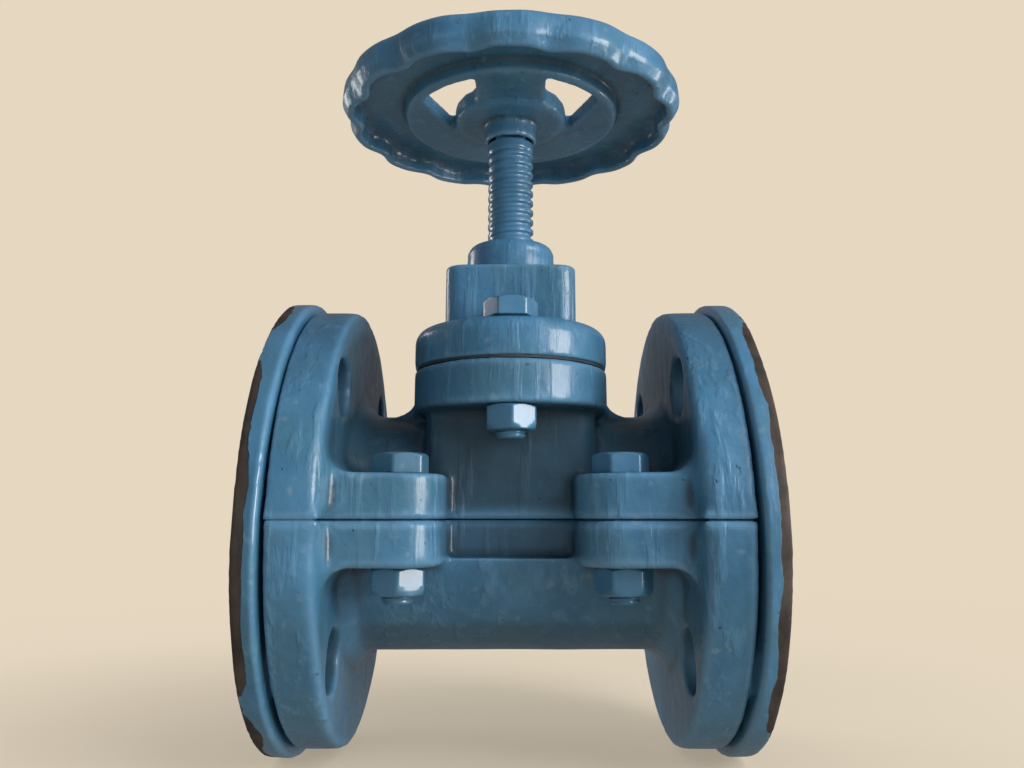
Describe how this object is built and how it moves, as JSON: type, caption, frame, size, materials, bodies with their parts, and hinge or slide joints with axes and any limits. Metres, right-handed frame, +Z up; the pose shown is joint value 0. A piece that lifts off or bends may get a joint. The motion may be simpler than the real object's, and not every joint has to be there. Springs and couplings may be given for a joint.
{
  "type": "pinch valve",
  "caption": "Flanged manual pinch valve: split cast-iron body, full-length rubber sleeve, rising threaded stem and lobed handwheel that drives a pinch bar.",
  "frame": {"origin": "centre of the bore, on the plane where the two body halves meet, under the stem", "axes": "+X along the pipe, +Z up the stem towards the handwheel, -Y towards the front"},
  "size_m": [0.158, 0.1572, 0.2656],
  "materials": {
    "blue_casting": "thick glossy steel-blue enamel over rough cast iron",
    "painted_steel": "steel brushed over with the same blue enamel, worn on its edges",
    "painted_rubber": "moulded rubber, its rim painted blue and chipped",
    "gasket": "dark compressed sheet",
    "black_rubber": "matt black",
    "bronze": "machined bronze",
    "bare_iron": "greased bare casting",
    "zinc_steel": "zinc-plated"
  },
  "bodies": {
    "root": {"upper_body": "blue_casting", "lower_body": "blue_casting", "bonnet": "blue_casting", "stem_collar": "blue_casting", "rubber_sleeve": "painted_rubber", "sleeve_ring_left": "painted_rubber", "sleeve_ring_right": "painted_rubber", "bonnet_gasket": "gasket", "stem_bush": "bronze", "stem_wiper": "black_rubber", "body_bolt_front_left": "painted_steel", "body_nut_front_left": "painted_steel", "body_bolt_front_right": "painted_steel", "body_nut_front_right": "painted_steel", "body_bolt_rear_left": "painted_steel", "body_nut_rear_left": "painted_steel", "body_bolt_rear_right": "painted_steel", "body_nut_rear_right": "painted_steel", "bonnet_bolt_front": "painted_steel", "bonnet_nut_front": "painted_steel", "bonnet_bolt_rear": "painted_steel", "bonnet_nut_rear": "painted_steel"},
    "compressor": {"compressor": "bare_iron", "thrust_washer": "bronze", "stem_retainer": "zinc_steel", "retainer_screws": "zinc_steel"},
    "stem": {"stem": "painted_steel", "handwheel": "blue_casting", "handwheel_washer": "zinc_steel", "handwheel_nut": "zinc_steel"}
  },
  "joints": [
    {"name": "compressor_slide", "type": "slide", "parent": "root", "child": "compressor", "axis": [0, 0, 1], "range_m": [-0.044, 0], "deforming": ["rubber_sleeve"]},
    {"name": "handwheel_turn", "type": "hinge", "parent": "compressor", "child": "stem", "pos_m": [0, 0, 0.1], "axis": [0, 0, 1], "range_deg": [-3960, 0]}
  ],
  "couplings": [
    {"joint": "compressor_slide", "follows": "handwheel_turn", "m_per_rad": 0.00063662}
  ]
}
